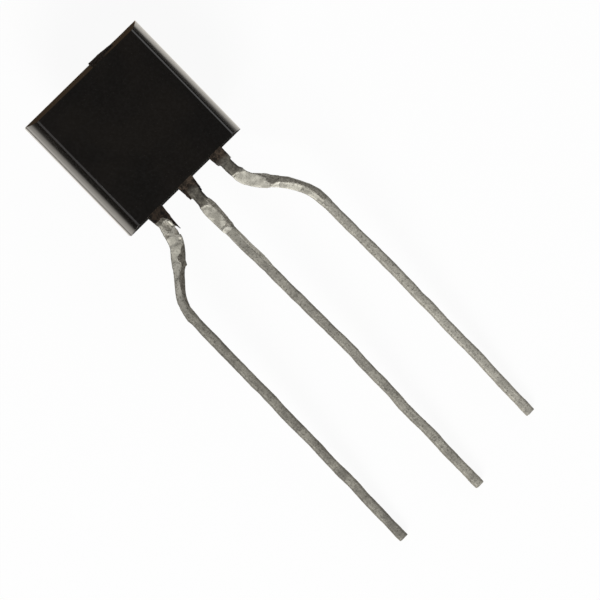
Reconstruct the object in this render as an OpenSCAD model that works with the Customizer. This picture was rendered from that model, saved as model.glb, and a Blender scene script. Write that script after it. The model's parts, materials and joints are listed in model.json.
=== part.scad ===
/* [Moulded body] */
// Width of the body across its round back
body_w = 4.64; // [4.30:0.02:5.20]
// Length of the body along the leads, measured on the mould's parting line
body_l = 4.55; // [4.30:0.01:5.30]
// Distance from the middle of the lead frame to the flat marking face
flat_to_leads = 1.08; // [0.90:0.02:1.30]
// Height of the straight flank between the back arc and the two front arcs
flank_h = 0.10; // [0.02:0.02:0.30]
// Edge radius where the flat marking face meets the front arcs
flat_edge_r = 0.07; // [0.03:0.01:0.15]
// Draft of the end faces in the front mould half, in degrees
front_draft = 7; // [3:0.5:10]
// Draft of the end faces in the back mould half, in degrees
back_draft = 5; // [2:0.5:8]
// Step between the two mould halves at the parting line
mould_step = 0.02; // [0.01:0.005:0.04]

/* [Broken gate] */
// Start of the gate remnant, to the right of the body's middle
gate_x = 0.38; // [0.10:0.02:0.60]
// Width of the gate remnant
gate_w = 0.90; // [0.50:0.05:1.20]
// Height that the gate remnant stands above the end of the body
gate_h = 0.05; // [0.02:0.01:0.12]
// Depth of the gate remnant into the front mould half
gate_depth = 0.30; // [0.15:0.05:0.50]

/* [Lead frame] */
// Thickness of the stamped strip
lead_t = 0.36; // [0.32:0.01:0.46]
// Distance from the centre of the back arc forward to the middle of the strip
lead_mid_z = 0.20; // [0.10:0.02:0.30]
// Pitch of the three leads where they leave the body
lead_pitch = 1.27; // [1.20:0.01:1.35]
// Width of each lead where it leaves the body
root_w = 0.58; // [0.52:0.01:0.66]
// Width of that root at its outer end, where the dam bar was sheared off
root_end_w = 0.50; // [0.49:0.01:0.56]
// Length of the wide root outside the body
root_l = 0.38; // [0.25:0.01:0.50]
// Width of the neck between the root and the pressed flat
neck_w = 0.37; // [0.34:0.01:0.48]
// Width of the pressed flat left by the forming clamp
press_w = 0.49; // [0.44:0.01:0.56]
// Depth of the pressed flat below the strip's face
press_d = 0.05; // [0.02:0.01:0.10]
// Width of the strip round the formed bends
bend_w = 0.37; // [0.33:0.01:0.46]
// Width of the free length of each lead
wire_w = 0.32; // [0.29:0.01:0.46]
// Bevel of the strip's edges along the free length
wire_bevel = 0.06; // [0.03:0.01:0.08]
// Width of the wide bevel that the forming clamp leaves round the bends
bend_bevel = 0.14; // [0.08:0.01:0.16]

/* [Formed emitter lead] */
// Distance from the middle lead to the emitter lead after forming
emitter_reach = 2.69; // [2.45:0.01:2.75]
// Distance from the middle of the root outwards to the middle of the neck
emitter_shift = 0.06; // [0:0.01:0.09]
// Distance from the body to the start of the first bend
emitter_bend_start = 0.44; // [0.40:0.02:1.00]
// Angle of the slanted stretch to the body's axis
emitter_slant = 41; // [35:1:50]
// Centreline radius of the first bend
emitter_first_r = 1.40; // [1.00:0.05:1.60]
// Centreline radius of the second bend
emitter_second_r = 1.15; // [0.90:0.05:2.20]
// Outward splay beyond the second bend, in degrees
emitter_splay = 0.4; // [0:0.1:1.5]

/* [Formed collector lead] */
// Distance from the middle lead to the collector lead after forming
collector_reach = 2.63; // [2.45:0.01:2.75]
// Distance from the middle of the root outwards to the middle of the neck
collector_shift = 0.02; // [0:0.01:0.09]
// Distance from the body to the start of the first bend
collector_bend_start = 0.54; // [0.40:0.02:1.00]
// Angle of the slanted stretch to the body's axis
collector_slant = 44; // [35:1:50]
// Centreline radius of the first bend
collector_first_r = 1.40; // [1.00:0.05:1.60]
// Centreline radius of the second bend
collector_second_r = 2.05; // [0.90:0.05:2.20]
// Outward splay beyond the second bend, in degrees
collector_splay = 0.3; // [0:0.1:1.5]

/* [Lengths of the leads] */
// Distance from the body to the tip of an outer lead
outer_reach = 12.27; // [10.00:0.01:14.00]
// Distance from the body to the tip of the middle lead
middle_reach = 12.74; // [10.50:0.01:14.50]
// Clearance under the middle tip when the part lies on its round back and its two outer tips
middle_clear = 0.06; // [0.02:0.01:0.20]

/* [Pressed flats] */
// Start of the pressed flat on the emitter lead, measured along it from the body
emitter_press = 0.52; // [0.46:0.01:0.70]
// Start of the pressed flat on the base lead
base_press = 0.86; // [0.70:0.01:1.10]
// Start of the pressed flat on the collector lead
collector_press = 0.90; // [0.75:0.01:1.10]
// End of the pressed flats, measured along each lead from the body
press_end = 1.86; // [1.60:0.02:2.00]

/* [Inside the body] */
// Gap between neighbouring pieces of the lead frame
frame_gap = 0.25; // [0.18:0.01:0.32]
// Length of the narrow posts from the body's end to the bond pads
post_l = 0.75; // [0.60:0.05:0.90]
// Length of the base lead's bond pad
base_pad_l = 0.55; // [0.40:0.05:0.70]
// Width of the base lead's bond pad
base_pad_w = 0.80; // [0.70:0.05:0.90]
// Length of the emitter lead's bond pad
emitter_pad_l = 1.40; // [1.00:0.05:1.60]
// Width of the emitter lead's bond pad
emitter_pad_w = 1.00; // [0.85:0.05:1.10]
// Length of the die paddle
paddle_l = 1.70; // [1.40:0.05:2.00]
// Width of the die paddle
paddle_w = 1.95; // [1.80:0.05:2.05]
// Depth of the notches that lock each post in the resin
lock_d = 0.10; // [0.05:0.01:0.14]
// Length of those notches
lock_l = 0.22; // [0.15:0.01:0.30]
// Side of the square silicon chip
die_w = 0.46; // [0.35:0.01:0.60]
// Thickness of the silicon chip
die_t = 0.20; // [0.12:0.01:0.25]
// Thickness of the layer that bonds the chip to the paddle
attach_t = 0.03; // [0.02:0.005:0.05]
// Width of that layer beyond the chip's edge, where it squeezes out
attach_edge = 0.05; // [0.02:0.01:0.08]
// Diameter of the gold bond wires
bond_d = 0.03; // [0.02:0.005:0.04]
// Diameter of the ball where a wire is bonded to the chip
ball_d = 0.09; // [0.06:0.01:0.12]
// Height of each wire's loop above its ends
loop_h = 0.25; // [0.15:0.01:0.35]

/* [Hidden] */
$fn = 96;

// Package axes: X to the collector side, Y from the lead tips to the far end of the body, Z out of the flat
// face. The centre of the back arc is at x = 0, z = 0, and the lead end of the body is at y = 0.
body_r = body_w / 2;
flat_z = lead_mid_z + flat_to_leads;
strip_front_z = lead_mid_z + lead_t / 2;
strip_back_z = lead_mid_z - lead_t / 2;
parting_z = strip_front_z;
cut_over = 1;

// Rings of the lofted leads: what the formed strip loses in thickness on each face, how deep its start sits
// in the root, the length over which one section turns into the next, the steps of each arc, and the
// distance within which two rings count as one
formed_thinning = 0.01;
loft_grip = 0.05;
blend_l = 0.10;
arc_steps = 5;
same_place = 0.005;
formed_back_z = strip_back_z + formed_thinning;
formed_front_z = strip_front_z - formed_thinning;

// Inside layout, from the lead end of the body upwards
base_pad_end = post_l + base_pad_l;
paddle_start = base_pad_end + frame_gap;
paddle_right = lead_pitch + root_w / 2;
paddle_left = paddle_right - paddle_w;
emitter_pad_right = min(paddle_left, -base_pad_w / 2) - frame_gap;
lock_y = post_l / 2;
die_x = (paddle_left + paddle_right) / 2;
die_y = paddle_start + paddle_l / 2;
die_foot_z = strip_front_z + attach_t;
die_top_z = die_foot_z + die_t;
bond_offset = die_w / 4;

// How the part lies: on the lead end of its round back and on the tips of both outer leads
back_edge_y = (parting_z + body_r) * tan(back_draft);
lie_tilt = atan((body_r + formed_back_z) / (back_edge_y + outer_reach));

// The middle lead leans towards the flat face, so that its tip stays clear of the surface
lean_start = press_end + blend_l;
tip_lift = max(0, (middle_reach - outer_reach) * tan(lie_tilt) + middle_clear / cos(lie_tilt));

// Centreline of a formed lead that bends to +X: each entry is [distance along it, x, y, heading, z], and
// headings are measured from the -Y direction towards +X
function formed_path(reach, shift, start, slant, r1, r2, splay) =
    let (
        neck_x = lead_pitch + shift,
        level = reach - neck_x - r1 * (1 - cos(slant)) - r2 * (cos(splay) - cos(slant)),
        straight = level / sin(slant),
        arc1_l = r1 * slant * PI / 180,
        arc2_l = r2 * (slant - splay) * PI / 180,
        x1 = neck_x + r1 * (1 - cos(slant)),
        y1 = -start - r1 * sin(slant),
        x2 = x1 + straight * sin(slant),
        y2 = y1 - straight * cos(slant),
        tail = (outer_reach + y2 - r2 * (sin(slant) - sin(splay))) / cos(splay)
    )
    [
        for (i = [0 : arc_steps])
            let (a = slant * i / arc_steps)
            [
                start + arc1_l * i / arc_steps,
                neck_x + r1 * (1 - cos(a)),
                -start - r1 * sin(a),
                a,
                0
            ],
        for (i = [0 : arc_steps])
            let (a = slant - (slant - splay) * i / arc_steps)
            [
                start + arc1_l + straight + arc2_l * i / arc_steps,
                x2 + r2 * (cos(a) - cos(slant)),
                y2 - r2 * (sin(slant) - sin(a)),
                a,
                0
            ],
        [
            start + arc1_l + straight + arc2_l + tail,
            reach + tail * sin(splay),
            -outer_reach,
            splay,
            0
        ]
    ];

emitter_bends = formed_path(
    emitter_reach, emitter_shift, emitter_bend_start, emitter_slant, emitter_first_r,
    emitter_second_r, emitter_splay
);
collector_bends = formed_path(
    collector_reach, collector_shift, collector_bend_start, collector_slant, collector_first_r,
    collector_second_r, collector_splay
);

// Adds the straight neck of an outer lead's path, and turns it to one side of the package
function whole_path(bends, side) = [
    [0, side * bends[0][1], 0, 0, 0],
    for (b = bends) [b[0], side * b[1], b[2], side * b[3], b[4]]
];
emitter_path = whole_path(emitter_bends, -1);
collector_path = whole_path(collector_bends, 1);
base_path = [
    [0, 0, 0, 0, 0],
    [lean_start, 0, -lean_start, 0, 0],
    [middle_reach, 0, -middle_reach, 0, tip_lift]
];

// A point of the package carried into the lying frame, before the final shift
function laid(p) = [
    p[0],
    p[1] * cos(lie_tilt) - p[2] * sin(lie_tilt),
    p[1] * sin(lie_tilt) + p[2] * cos(lie_tilt)
];
function outermost(bends) =
    max(bends[len(bends) - 1][1] + wire_w / 2, bends[len(bends) - 2][1] + bend_w / 2);
left_x = -outermost(emitter_bends);
right_x = outermost(collector_bends);
near_y = min(
    laid([0, -middle_reach, formed_front_z + tip_lift])[1],
    laid([0, -outer_reach, formed_front_z])[1]
);
far_y = laid([0, body_l - back_edge_y, -body_r])[1];
low_z = laid([0, -outer_reach, formed_back_z])[2];
lie_shift = [-(left_x + right_x) / 2, -(near_y + far_y) / 2, -low_z];

// Position, heading and height at a distance along a path, straight between its entries
function column(table, k) = [for (row = table) [row[0], row[k]]];
function along(path, s) = [for (k = [1 : 4]) lookup(s, column(path, k))];

// Sections of the strip along a lead: [distance, width, drop of the front face, left bevel, right bevel]
function strip_plan(press, bend_end, total) = [
    [root_l - loft_grip, neck_w, formed_thinning, wire_bevel, wire_bevel],
    [press - blend_l, neck_w, formed_thinning, wire_bevel, wire_bevel],
    [press, (neck_w + press_w) / 2, press_d, wire_bevel / 2, wire_bevel / 2],
    [press + 2 * blend_l, press_w, press_d, wire_bevel / 2, wire_bevel / 2],
    [press_end, (press_w + bend_w) / 2, press_d, wire_bevel / 2, bend_bevel],
    [press_end + blend_l, bend_w, formed_thinning, wire_bevel / 2, bend_bevel],
    [bend_end, bend_w, formed_thinning, wire_bevel, bend_bevel],
    [bend_end + 2 * blend_l, wire_w, formed_thinning, wire_bevel, wire_bevel],
    [total, wire_w, formed_thinning, wire_bevel, wire_bevel]
];

// One ring of the loft, eight corners from the back left round to the front left
function strip_ring(place, width, drop, left_bevel, right_bevel) =
    let (
        half = width / 2,
        back = formed_back_z + place[3],
        front = strip_front_z - drop + place[3],
        across = [cos(place[2]), sin(place[2])],
        corners = [
            [-half, back + wire_bevel], [-half + wire_bevel, back],
            [half - wire_bevel, back], [half, back + wire_bevel],
            [half, front - right_bevel], [half - right_bevel, front],
            [-half + left_bevel, front], [-half, front - left_bevel]
        ]
    )
    [for (c = corners) [place[0] + across[0] * c[0], place[1] + across[1] * c[0], c[1]]];

// Distances of all rings, in order and without repeats
function sorted(values) =
    len(values) < 2 ? values :
    let (
        pivot = values[0],
        below = [for (v = values) if (v < pivot - same_place) v],
        above = [for (v = values) if (v > pivot + same_place) v]
    )
    concat(sorted(below), [pivot], sorted(above));

module loft(rings) {
    sides = len(rings[0]);
    last = len(rings) - 1;
    points = [for (ring = rings) each ring];
    faces = concat(
        [[for (k = [0 : sides - 1]) k]],
        [[for (k = [sides - 1 : -1 : 0]) last * sides + k]],
        [
            for (j = [0 : last - 1], k = [0 : sides - 1])
                each [
                    [j * sides + k, (j + 1) * sides + k, j * sides + (k + 1) % sides],
                    [j * sides + (k + 1) % sides, (j + 1) * sides + k, (j + 1) * sides + (k + 1) % sides]
                ]
        ]
    );
    polyhedron(points, faces);
}

// Outer length of a lead: the formed and pressed strip from inside the root to the cut tip
module formed_strip(path, press, bend_end) {
    total = path[len(path) - 1][0];
    plan = strip_plan(press, bend_end, total);
    first = plan[0][0];
    stations = sorted([
        for (row = plan) row[0],
        for (row = path) if (row[0] > first) row[0]
    ]);
    loft([
        for (s = stations)
            strip_ring(
                along(path, s),
                lookup(s, column(plan, 1)),
                lookup(s, column(plan, 2)),
                lookup(s, column(plan, 3)),
                lookup(s, column(plan, 4))
            )
    ]);
}

// Stamped post inside the body and the wide root outside it, as one flat blank
module post_outline(x, top) {
    difference() {
        translate([x, 0])
            polygon([
                [-root_end_w / 2, -root_l],
                [root_end_w / 2, -root_l],
                [root_w / 2, 0],
                [root_w / 2, top],
                [-root_w / 2, top],
                [-root_w / 2, 0]
            ]);
        for (side = [-1, 1])
            translate([x + side * root_w / 2, lock_y])
                square([2 * lock_d, lock_l], center = true);
    }
}

module pad_outline(left, bottom, width, length) {
    translate([left, bottom])
        square([width, length]);
}

module stamped() {
    translate([0, 0, strip_back_z])
        linear_extrude(lead_t)
            children();
}

module emitter_blank() {
    stamped() {
        post_outline(-lead_pitch, post_l + emitter_pad_l / 2);
        pad_outline(emitter_pad_right - emitter_pad_w, post_l, emitter_pad_w, emitter_pad_l);
    }
}

module base_blank() {
    stamped() {
        post_outline(0, post_l + base_pad_l / 2);
        pad_outline(-base_pad_w / 2, post_l, base_pad_w, base_pad_l);
    }
}

module collector_blank() {
    stamped() {
        post_outline(lead_pitch, paddle_start + paddle_l / 2);
        pad_outline(paddle_left, paddle_start, paddle_w, paddle_l);
    }
}

// Section of the body across the leads: back arc, straight flanks, front arcs, flat face with rounded edges
module d_section(r) {
    edge_z = flat_z - flat_edge_r;
    edge_x = sqrt(pow(r - flat_edge_r, 2) - pow(edge_z - flank_h, 2));
    corner_x = sqrt(pow(r, 2) - pow(flat_z - flank_h, 2));
    reach = r / (r - flat_edge_r);
    difference() {
        union() {
            circle(r);
            translate([-r, 0])
                square([2 * r, flank_h]);
            translate([0, flank_h])
                circle(r);
        }
        translate([-body_w, flat_z])
            square([2 * body_w, body_w]);
        for (side = [-1, 1])
            polygon([
                [side * edge_x, edge_z],
                [side * edge_x, flat_z + flat_edge_r],
                [side * (corner_x + 2 * flat_edge_r), flat_z + flat_edge_r],
                [side * edge_x * reach, flank_h + (edge_z - flank_h) * reach]
            ]);
    }
    for (side = [-1, 1])
        translate([side * edge_x, edge_z])
            circle(flat_edge_r);
}

// The section run along the body
module d_bar(r) {
    translate([0, body_l + cut_over, 0])
        rotate([90, 0, 0])
            linear_extrude(body_l + 2 * cut_over)
                d_section(r);
}

// One mould half as a wedge across the body: it is body_l long at the parting plane and shrinks away from it
module mould_half(depth, draft, direction) {
    shrink = depth * tan(draft);
    translate([-body_w, 0, parting_z])
        rotate([90, 0, 90])
            linear_extrude(2 * body_w)
                polygon([
                    [0, 0],
                    [body_l, 0],
                    [body_l - shrink, direction * depth],
                    [shrink, direction * depth]
                ]);
}

// What is left where the moulding was broken off its runner: high at one side, fading out at the other
module gate_remnant() {
    translate([gate_x, body_l, parting_z])
        linear_extrude(gate_depth)
            polygon([
                [0, -body_l / 4],
                [0, gate_h],
                [gate_w * 0.45, gate_h * 0.9],
                [gate_w, 0],
                [gate_w, -body_l / 4]
            ]);
}

// A bond wire: rises off the chip, loops over and comes down on a pad, with a ball at the chip
module bond_wire(foot, pad) {
    sides = 8;
    steps = 14;
    span = [pad[0] - foot[0], pad[1] - foot[1], pad[2] - foot[2]];
    level = norm([span[0], span[1]]);
    ahead = [span[0] / level, span[1] / level, 0];
    aside = [-ahead[1], ahead[0], 0];
    loft([
        for (i = [0 : steps])
            let (
                t = 180 * i / steps,
                share = (1 - cos(t)) / 2,
                centre = foot + span * share + [0, 0, loop_h * sin(t)],
                climb = atan2(span[2] * sin(t) / 2 + loop_h * cos(t), level * sin(t) / 2),
                up = [-sin(climb) * ahead[0], -sin(climb) * ahead[1], cos(climb)],
                r = (i == 0 ? ball_d : bond_d) / 2
            )
            [for (k = [0 : sides - 1])
                let (a = 360 * k / sides)
                centre + r * cos(a) * aside + r * sin(a) * up]
    ]);
}

// Carries the package from its own axes to the way it lies, with the origin under its middle
module lie_down() {
    translate(lie_shift)
        rotate([lie_tilt, 0, 0])
            children();
}

module die_block() {
    translate([die_x - die_w / 2, die_y - die_w / 2, die_foot_z])
        cube([die_w, die_w, die_t]);
}

module attach_block() {
    side = die_w + 2 * attach_edge;
    translate([die_x - side / 2, die_y - side / 2, strip_front_z])
        cube([side, side, attach_t]);
}

module base_wire_shape() {
    bond_wire(
        [die_x - bond_offset, die_y - bond_offset, die_top_z],
        [0, post_l + base_pad_l / 2, strip_front_z]
    );
}

module emitter_wire_shape() {
    bond_wire(
        [die_x - bond_offset, die_y + bond_offset, die_top_z],
        [emitter_pad_right - emitter_pad_w / 2, post_l + emitter_pad_l * 0.75, strip_front_z]
    );
}

module epoxy_body() {
    color("#1b1917")
        lie_down()
            difference() {
                union() {
                    intersection() {
                        d_bar(body_r);
                        mould_half(body_r + parting_z + cut_over, back_draft, -1);
                    }
                    intersection() {
                        d_bar(body_r - mould_step);
                        mould_half(flat_to_leads + cut_over, front_draft, 1);
                    }
                    gate_remnant();
                }
                emitter_blank();
                base_blank();
                collector_blank();
                die_block();
                attach_block();
                base_wire_shape();
                emitter_wire_shape();
            }
}

module emitter_lead() {
    color("#a8a59b")
        lie_down() {
            emitter_blank();
            formed_strip(emitter_path, emitter_press, bend_end(emitter_path));
        }
}

module base_lead() {
    color("#a8a59b")
        lie_down() {
            base_blank();
            formed_strip(base_path, base_press, bend_end(emitter_path));
        }
}

module collector_lead() {
    color("#a8a59b")
        lie_down() {
            collector_blank();
            formed_strip(collector_path, collector_press, bend_end(collector_path));
        }
}

// Distance along a formed lead to the end of its second bend
function bend_end(path) = path[len(path) - 2][0];

module silicon_die() {
    color("#6d7079")
        lie_down()
            die_block();
}

module die_attach() {
    color("#b9b6ae")
        lie_down()
            attach_block();
}

module emitter_bond_wire() {
    color("#d8a93c")
        lie_down()
            emitter_wire_shape();
}

module base_bond_wire() {
    color("#d8a93c")
        lie_down()
            base_wire_shape();
}

epoxy_body();
emitter_lead();
base_lead();
collector_lead();
silicon_die();
die_attach();
emitter_bond_wire();
base_bond_wire();
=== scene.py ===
import json
from math import atan2, cos, pi, radians, sin

import bmesh
import bpy
from mathutils import Matrix, Vector


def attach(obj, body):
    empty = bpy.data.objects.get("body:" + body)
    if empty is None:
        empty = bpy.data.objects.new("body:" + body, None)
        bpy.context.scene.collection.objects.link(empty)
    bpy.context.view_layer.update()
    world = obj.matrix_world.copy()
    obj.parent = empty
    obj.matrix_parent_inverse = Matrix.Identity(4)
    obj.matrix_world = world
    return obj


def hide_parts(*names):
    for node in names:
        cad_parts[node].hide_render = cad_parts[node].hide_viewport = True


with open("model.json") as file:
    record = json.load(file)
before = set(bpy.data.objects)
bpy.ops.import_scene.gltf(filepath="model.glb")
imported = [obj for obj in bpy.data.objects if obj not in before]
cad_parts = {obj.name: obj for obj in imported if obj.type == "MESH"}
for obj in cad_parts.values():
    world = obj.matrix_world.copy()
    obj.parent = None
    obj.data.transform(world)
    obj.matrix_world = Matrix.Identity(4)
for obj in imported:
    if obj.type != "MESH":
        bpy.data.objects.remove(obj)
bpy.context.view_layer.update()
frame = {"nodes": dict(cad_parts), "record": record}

# Package axes, in millimetres: X to the collector side, Y from the lead tips to the far end of the body, Z out of
# the flat face. The middle of the body's lead end is at x = 0, y = 0, and the centre of its round back at z = 0.
MM = 0.001
BODY_L = 4.55
BODY_R = 2.32
FRONT_R = 2.30
FLANK_H = 0.10
FLAT_Z = 1.28
PARTING_Z = 0.38

# How the package lies: the flat face's own mount gives its middle and its normal in the frame
face = next(m for m in frame["record"]["mounts"] if m["name"] == "marking_face")
face_normal = Vector(face["axis"])
lie_tilt = atan2(-face_normal.y, face_normal.z)
LAID = (
    Matrix.Translation(face["pos_m"])
    @ Matrix.Rotation(lie_tilt, 4, "X")
    @ Matrix.Diagonal((MM, MM, MM, 1))
    @ Matrix.Translation((0, -BODY_L / 2, -FLAT_Z))
)


# ---------------------------------------------------------------- nodes and materials

def linear(hex_colour):
    """An sRGB hex colour as linear RGBA."""
    parts = [int(hex_colour[i : i + 2], 16) / 255 for i in (1, 3, 5)]
    return [p / 12.92 if p <= 0.04045 else ((p + 0.055) / 1.055) ** 2.4 for p in parts] + [1]


def add(tree, kind, settings=None, **links):
    """Adds a node with its settings, and fills its sockets from values or from other nodes' sockets."""
    node = tree.nodes.new(kind)
    for name, value in (settings or {}).items():
        setattr(node, name, value)
    for name, value in links.items():
        place = int(name[1:]) if name[1:].isdigit() else name.replace("_", " ")
        socket = node.inputs[place]
        if isinstance(value, bpy.types.NodeSocket):
            tree.links.new(value, socket)
        else:
            socket.default_value = value
    return node


def material(name):
    """A new material with nodes, cleared of all of them."""
    made = bpy.data.materials.new(name)
    made.use_nodes = True
    made.node_tree.nodes.clear()
    return made, made.node_tree


def package_coords(tree):
    """Object coordinates turned into package axes, in millimetres from the middle of the lead end."""
    on_bench = add(
        tree, "ShaderNodeMapping", {"vector_type": "TEXTURE"},
        Vector=add(tree, "ShaderNodeTexCoord").outputs["Object"],
        Location=LAID.to_translation(), Rotation=(lie_tilt, 0, 0), Scale=(MM, MM, MM),
    )
    return on_bench.outputs[0]


# Settings that many nodes share
SMOOTH = {"interpolation_type": "SMOOTHSTEP"}
COLOURS = {"data_type": "RGBA"}
TIMES = {"operation": "MULTIPLY"}
PLUS = {"operation": "ADD"}
LEAST = {"operation": "MINIMUM"}
MOST = {"operation": "MAXIMUM"}


def tin():
    """Matte tin on a copper-alloy strip, hot dipped and left to dull: soft grey blotches, a fine grain that breaks
    up every highlight, and a brown stain where the resin crept out along the roots."""
    made, tree = material("hot_dipped_tin")
    place = package_coords(tree)
    axes = add(tree, "ShaderNodeSeparateXYZ", Vector=place)
    across, along = axes.outputs[0], axes.outputs[1]
    # Blotches are about 0.6 mm across
    blotches = add(tree, "ShaderNodeTexNoise", Vector=place, Scale=1.6, Detail=3.0, Roughness=0.6).outputs[0]
    # Dip grain is about 0.02 mm across, too fine to show, so it is drawn at 0.06 mm
    grain = add(tree, "ShaderNodeTexNoise", Vector=place, Scale=16.0, Detail=2.0, Roughness=0.7).outputs[0]
    patch = add(tree, "ShaderNodeMapRange", SMOOTH, Value=blotches, From_Min=0.35, From_Max=0.65).outputs[0]
    metal = add(
        tree, "ShaderNodeMix", COLOURS, Factor=patch, _6=linear("#838078"), _7=linear("#9F9C92"),
    ).outputs[2]
    # The tin is lighter across the part, from the emitter lead, the dullest, to the collector lead, the brightest
    bright = add(
        tree, "ShaderNodeMapRange", SMOOTH, Value=across, From_Min=-1.8, From_Max=2.4, To_Max=0.30,
    ).outputs[0]
    metal = add(tree, "ShaderNodeMix", COLOURS, Factor=bright, _6=metal, _7=linear("#E2DFD4")).outputs[2]
    # The outer leads are lighter from their bends up towards the body, and the collector lead's lighter stretch is
    # the longer one
    stretch = add(
        tree, "ShaderNodeMath", {"operation": "MULTIPLY_ADD"}, _0=across, _1=0.15, _2=along,
    ).outputs[0]
    stretch = add(
        tree, "ShaderNodeMapRange", SMOOTH, Value=stretch, From_Min=-3.4, From_Max=-2.4, To_Max=0.34,
    ).outputs[0]
    off_middle = add(tree, "ShaderNodeMath", {"operation": "ABSOLUTE"}, _0=across).outputs[0]
    outer = add(tree, "ShaderNodeMapRange", SMOOTH, Value=off_middle, From_Min=0.5, From_Max=0.9).outputs[0]
    formed = add(tree, "ShaderNodeMath", TIMES, _0=stretch, _1=outer).outputs[0]
    metal = add(tree, "ShaderNodeMix", COLOURS, Factor=formed, _6=metal, _7=linear("#E2DFD4")).outputs[2]
    flecks = add(
        tree, "ShaderNodeMapRange", SMOOTH, Value=grain, From_Min=0.5, From_Max=0.72, To_Max=0.7,
    ).outputs[0]
    metal = add(tree, "ShaderNodeMix", COLOURS, Factor=flecks, _6=metal, _7=linear("#5E5B54")).outputs[2]
    # The necks of the base and collector leads, between the root and the pressed flat, are painted dark as painted
    # shade
    neck = add(
        tree, "ShaderNodeMapRange", SMOOTH, Value=along, From_Min=-1.05, From_Max=-0.80, To_Max=0.88,
    ).outputs[0]
    inner = add(tree, "ShaderNodeMapRange", SMOOTH, Value=across, From_Min=-0.9, From_Max=-0.5).outputs[0]
    neck_shade = add(tree, "ShaderNodeMath", TIMES, _0=neck, _1=inner).outputs[0]
    # Its specks are about 0.1 mm across
    specks = add(tree, "ShaderNodeTexNoise", Vector=place, Scale=9.0, Detail=2.0, Roughness=0.7).outputs[0]
    specks = add(tree, "ShaderNodeMapRange", SMOOTH, Value=specks, From_Min=0.38, From_Max=0.62).outputs[0]
    neck_shade_colour = add(
        tree, "ShaderNodeMix", COLOURS, Factor=specks, _6=linear("#413D37"), _7=linear("#68645B"),
    ).outputs[2]
    metal = add(tree, "ShaderNodeMix", COLOURS, Factor=neck_shade, _6=metal, _7=neck_shade_colour).outputs[2]
    # Resin stained the first 0.2 mm outside the body, with an uneven end and crumbs about 0.15 mm across
    creep = add(tree, "ShaderNodeMath", TIMES, _0=blotches, _1=0.3).outputs[0]
    reach = add(tree, "ShaderNodeMath", PLUS, _0=along, _1=creep).outputs[0]
    stain = add(tree, "ShaderNodeMapRange", SMOOTH, Value=reach, From_Min=-0.22, From_Max=0.0).outputs[0]
    crumbs = add(tree, "ShaderNodeTexNoise", Vector=place, Scale=7.0, Detail=2.0, Roughness=0.7).outputs[0]
    crumbs = add(tree, "ShaderNodeMapRange", SMOOTH, Value=crumbs, From_Min=0.38, From_Max=0.62).outputs[0]
    crust = add(
        tree, "ShaderNodeMix", COLOURS, Factor=crumbs, _6=linear("#28231E"), _7=linear("#55493E"),
    ).outputs[2]
    colour = add(tree, "ShaderNodeMix", COLOURS, Factor=stain, _6=metal, _7=crust).outputs[2]
    gloss = add(
        tree, "ShaderNodeMapRange", SMOOTH, Value=grain, From_Min=0.3, From_Max=0.7, To_Min=0.66, To_Max=0.80,
    ).outputs[0]
    bump = add(tree, "ShaderNodeBump", Strength=0.25, Distance=0.00002, Height=grain).outputs[0]
    shader = add(
        tree, "ShaderNodeBsdfPrincipled", Base_Color=colour, Metallic=0.85, Roughness=gloss, Normal=bump,
    )
    add(tree, "ShaderNodeOutputMaterial", Surface=shader.outputs[0])
    return made


def flattened_tin(name, dark, light, pit):
    """Tin squeezed flat by the forming clamp: closer and brighter than the dipped skin, clouded, with fine pits and
    scratches left in it."""
    made, tree = material(name)
    place = package_coords(tree)
    # The clamp's scratches and pits are about 0.01 mm wide, and are drawn at 0.05 mm so that they show
    pits = add(tree, "ShaderNodeTexNoise", Vector=place, Scale=18.0, Detail=3.0, Roughness=0.65).outputs[0]
    # Clouds are about 0.25 mm across
    cloud = add(tree, "ShaderNodeTexNoise", Vector=place, Scale=4.0, Detail=2.0).outputs[0]
    patch = add(tree, "ShaderNodeMapRange", SMOOTH, Value=cloud, From_Min=0.35, From_Max=0.65).outputs[0]
    metal = add(tree, "ShaderNodeMix", COLOURS, Factor=patch, _6=linear(dark), _7=linear(light)).outputs[2]
    flecks = add(
        tree, "ShaderNodeMapRange", SMOOTH, Value=pits, From_Min=0.48, From_Max=0.70, To_Max=0.6,
    ).outputs[0]
    colour = add(tree, "ShaderNodeMix", COLOURS, Factor=flecks, _6=metal, _7=linear(pit)).outputs[2]
    bump = add(tree, "ShaderNodeBump", Strength=0.4, Distance=0.00001, Height=pits).outputs[0]
    shader = add(
        tree, "ShaderNodeBsdfPrincipled", Base_Color=colour, Metallic=0.85, Roughness=0.68, Normal=bump,
    )
    add(tree, "ShaderNodeOutputMaterial", Surface=shader.outputs[0])
    return made


def bare_alloy(name, dark, light):
    """Streaked copper alloy, a warmer grey, where the tin was rubbed away; on the leads' tilted side facets its
    copies add painted light and painted shade. a darker, warmer grey with streaks.
    """
    made, tree = material(name)
    place = package_coords(tree)
    # The tool's streaks are about 0.02 mm wide, and are drawn at 0.07 mm so that they show
    streaks = add(tree, "ShaderNodeTexNoise", Vector=place, Scale=14.0, Detail=2.0, Roughness=0.6).outputs[0]
    patch = add(tree, "ShaderNodeMapRange", SMOOTH, Value=streaks, From_Min=0.35, From_Max=0.65).outputs[0]
    colour = add(tree, "ShaderNodeMix", COLOURS, Factor=patch, _6=linear(dark), _7=linear(light)).outputs[2]
    bump = add(tree, "ShaderNodeBump", Strength=0.3, Distance=0.00001, Height=streaks).outputs[0]
    shader = add(
        tree, "ShaderNodeBsdfPrincipled", Base_Color=colour, Metallic=0.85, Roughness=0.7, Normal=bump,
    )
    add(tree, "ShaderNodeOutputMaterial", Surface=shader.outputs[0])
    return made


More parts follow.
